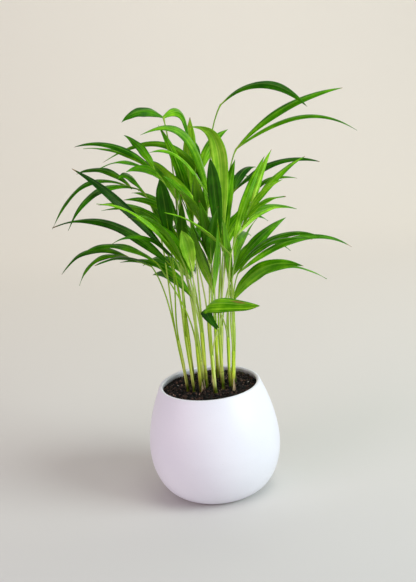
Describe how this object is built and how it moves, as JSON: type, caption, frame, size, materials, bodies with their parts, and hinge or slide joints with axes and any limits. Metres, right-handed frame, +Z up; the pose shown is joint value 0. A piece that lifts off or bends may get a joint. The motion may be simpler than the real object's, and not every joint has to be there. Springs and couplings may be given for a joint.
{
  "type": "potted palm",
  "caption": "Young areca palm clump with arching fronds on thin stems, in an egg-shaped matte white ceramic pot filled with soil.",
  "frame": {"origin": "centre of the pot's flat underside, on the pot's axis", "axes": "+Z up along the pot's axis, towards the fronds; -Y towards the front, the side seen in a front view; +X to the right in that view"},
  "size_m": [0.29, 0.196, 0.4026],
  "materials": {
    "white_ceramic": "matte, smooth, unglazed look",
    "potting_soil": "loose crumbs with some perlite",
    "green_stem": "smooth, slightly waxy",
    "green_leaf": "satin, with fine parallel veins"
  },
  "bodies": {
    "root": {"pot": "white_ceramic", "soil": "potting_soil", "stem_01": "green_stem", "stem_02": "green_stem", "stem_03": "green_stem", "stem_04": "green_stem", "stem_05": "green_stem", "stem_06": "green_stem", "stem_07": "green_stem", "stem_08": "green_stem", "stem_09": "green_stem", "stem_10": "green_stem", "stem_11": "green_stem", "stem_12": "green_stem", "stem_13": "green_stem", "stem_14": "green_stem", "stem_15": "green_stem", "frond_01": "green_leaf", "frond_02": "green_leaf", "frond_03": "green_leaf", "frond_04": "green_leaf", "frond_05": "green_leaf", "frond_06": "green_leaf", "frond_07": "green_leaf", "frond_08": "green_leaf", "frond_09": "green_leaf", "frond_10": "green_leaf", "frond_11": "green_leaf", "frond_12": "green_leaf", "frond_13": "green_leaf", "frond_14": "green_leaf", "frond_15": "green_leaf", "frond_16": "green_leaf", "frond_17": "green_leaf", "frond_18": "green_leaf", "frond_19": "green_leaf", "frond_20": "green_leaf", "frond_21": "green_leaf", "frond_22": "green_leaf", "frond_23": "green_leaf", "frond_24": "green_leaf", "frond_25": "green_leaf", "frond_26": "green_leaf", "frond_27": "green_leaf", "frond_28": "green_leaf", "frond_29": "green_leaf", "frond_30": "green_leaf", "frond_31": "green_leaf", "frond_32": "green_leaf", "frond_33": "green_leaf", "frond_34": "green_leaf", "frond_35": "green_leaf", "frond_36": "green_leaf", "frond_37": "green_leaf", "frond_38": "green_leaf", "frond_39": "green_leaf", "frond_40": "green_leaf", "frond_41": "green_leaf", "frond_42": "green_leaf"}
  },
  "joints": []
}
